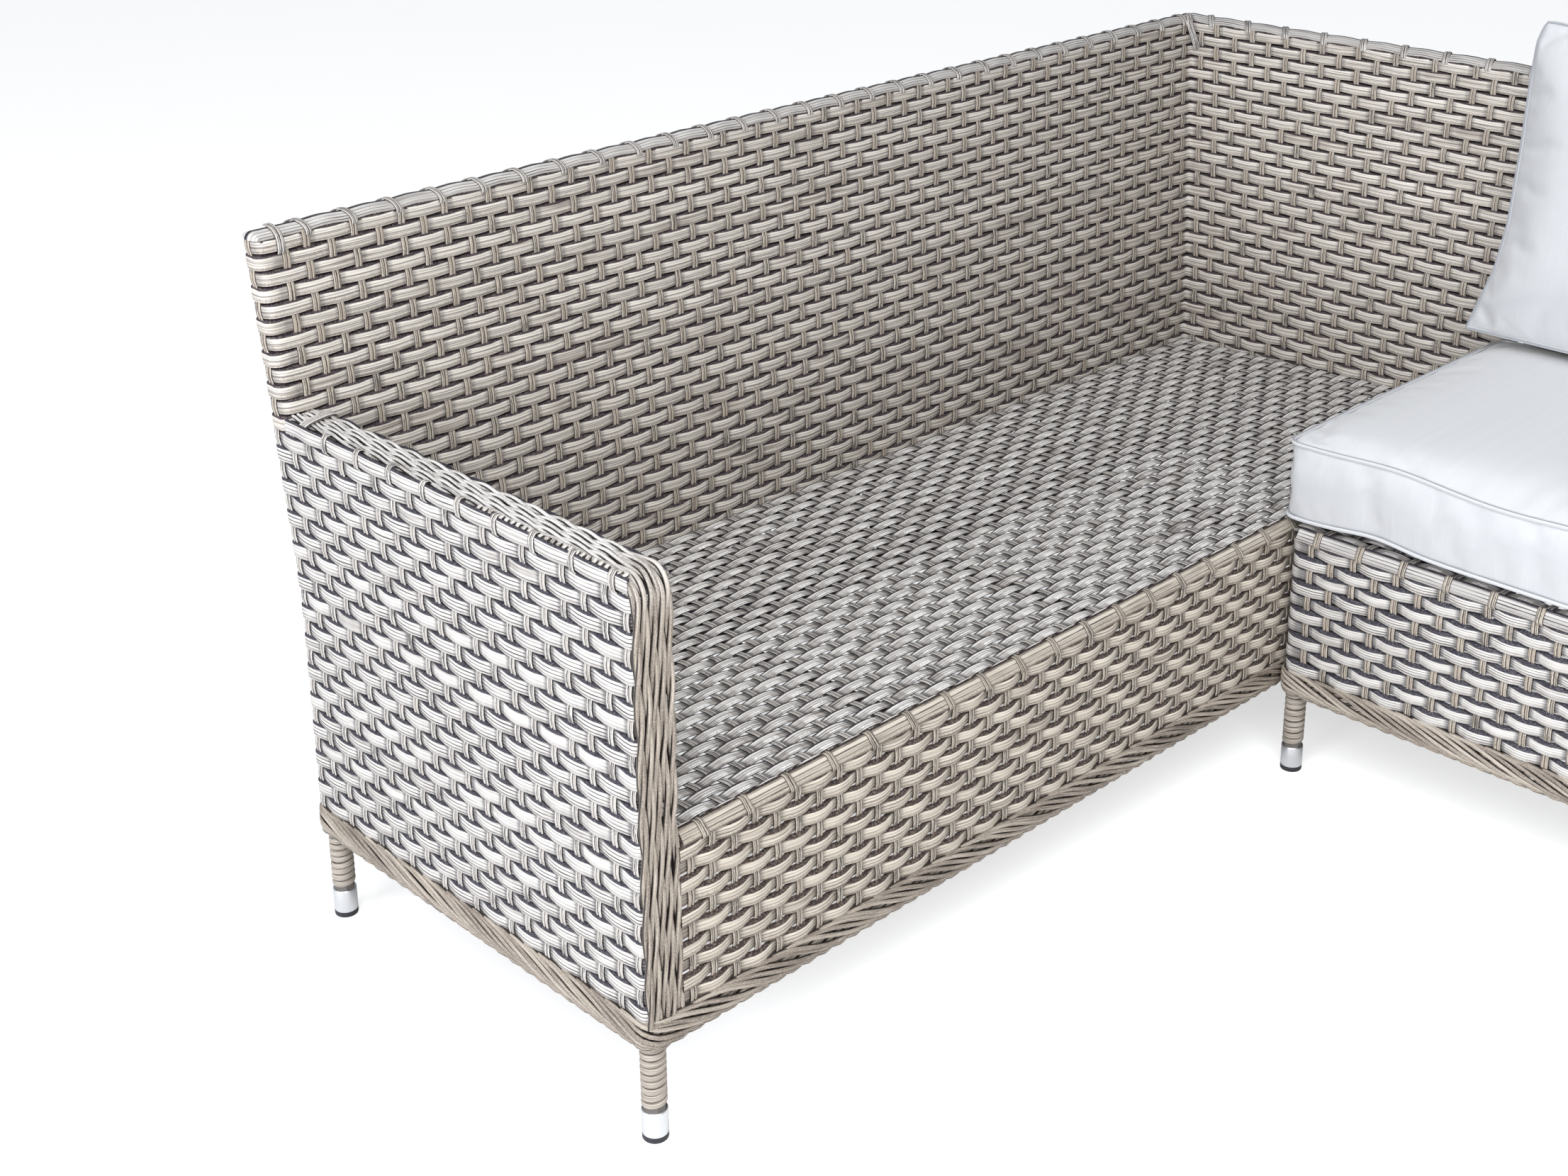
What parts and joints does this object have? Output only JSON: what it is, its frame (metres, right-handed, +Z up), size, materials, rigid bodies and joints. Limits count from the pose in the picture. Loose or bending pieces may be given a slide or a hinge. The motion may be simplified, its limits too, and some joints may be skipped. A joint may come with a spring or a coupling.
{
  "type": "garden corner sofa",
  "caption": "Woven L-shaped garden sofa: reclined backs, corded arm tops and borders, capped wound legs, loose seat and back cushions on the return.",
  "frame": {"origin": "centre of the bounding box's footprint, at floor height", "axes": "+X along the long module towards the corner, +Y towards the long module's back, +Z up"},
  "size_m": [1.752, 1.752, 0.93],
  "materials": {
    "flat_weave": "ribbed flat wicker ribbons in cream and grey-taupe, plain weave",
    "cord": "round twisted wicker cords in cream and taupe",
    "leg_winding": "flat wicker wound in a spiral",
    "leg_cap": "satin",
    "glide": "moulded black",
    "tube_frame": "powder coat, satin taupe",
    "clip": "satin",
    "cushion_fabric": "light grey slub linen look with self piping"
  },
  "bodies": {
    "base": {"long_back_weave": "flat_weave", "corner_wall_weave": "flat_weave", "long_apron_weave": "flat_weave", "long_seat_weave": "flat_weave", "long_arm_outer_weave": "flat_weave", "long_arm_inner_weave": "flat_weave", "long_arm_cords": "cord", "long_border": "cord", "long_seat_frame": "tube_frame", "long_upper_frame": "tube_frame", "long_leg_a_winding": "leg_winding", "long_leg_a_cap": "leg_cap", "long_leg_a_glide": "glide", "long_leg_b_winding": "leg_winding", "long_leg_b_cap": "leg_cap", "long_leg_b_glide": "glide", "long_leg_c_winding": "leg_winding", "long_leg_c_cap": "leg_cap", "long_leg_c_glide": "glide", "long_leg_d_winding": "leg_winding", "long_leg_d_cap": "leg_cap", "long_leg_d_glide": "glide", "return_back_weave": "flat_weave", "return_apron_weave": "flat_weave", "return_end_weave": "flat_weave", "return_seat_weave": "flat_weave", "return_arm_outer_weave": "flat_weave", "return_arm_inner_weave": "flat_weave", "return_arm_cords": "cord", "return_border": "cord", "return_seat_frame": "tube_frame", "return_upper_frame": "tube_frame", "return_leg_a_winding": "leg_winding", "return_leg_a_cap": "leg_cap", "return_leg_a_glide": "glide", "return_leg_b_winding": "leg_winding", "return_leg_b_cap": "leg_cap", "return_leg_b_glide": "glide", "return_leg_c_winding": "leg_winding", "return_leg_c_cap": "leg_cap", "return_leg_c_glide": "glide", "return_leg_d_winding": "leg_winding", "return_leg_d_cap": "leg_cap", "return_leg_d_glide": "glide", "joining_clip_1": "clip", "joining_clip_2": "clip"},
    "seat_1": {"seat_cushion_1": "cushion_fabric"},
    "back_1": {"back_cushion_1": "cushion_fabric"},
    "seat_2": {"seat_cushion_2": "cushion_fabric"},
    "back_2": {"back_cushion_2": "cushion_fabric"}
  },
  "joints": [
    {"name": "seat_1_lift", "type": "slide", "parent": "base", "child": "seat_1", "axis": [0, 0, 1], "range_m": [0, 0.25]},
    {"name": "back_1_lift", "type": "slide", "parent": "seat_1", "child": "back_1", "axis": [0, 0, 1], "range_m": [0, 0.25]},
    {"name": "seat_2_lift", "type": "slide", "parent": "base", "child": "seat_2", "axis": [0, 0, 1], "range_m": [0, 0.25]},
    {"name": "back_2_lift", "type": "slide", "parent": "seat_2", "child": "back_2", "axis": [0, 0, 1], "range_m": [0, 0.25]}
  ]
}
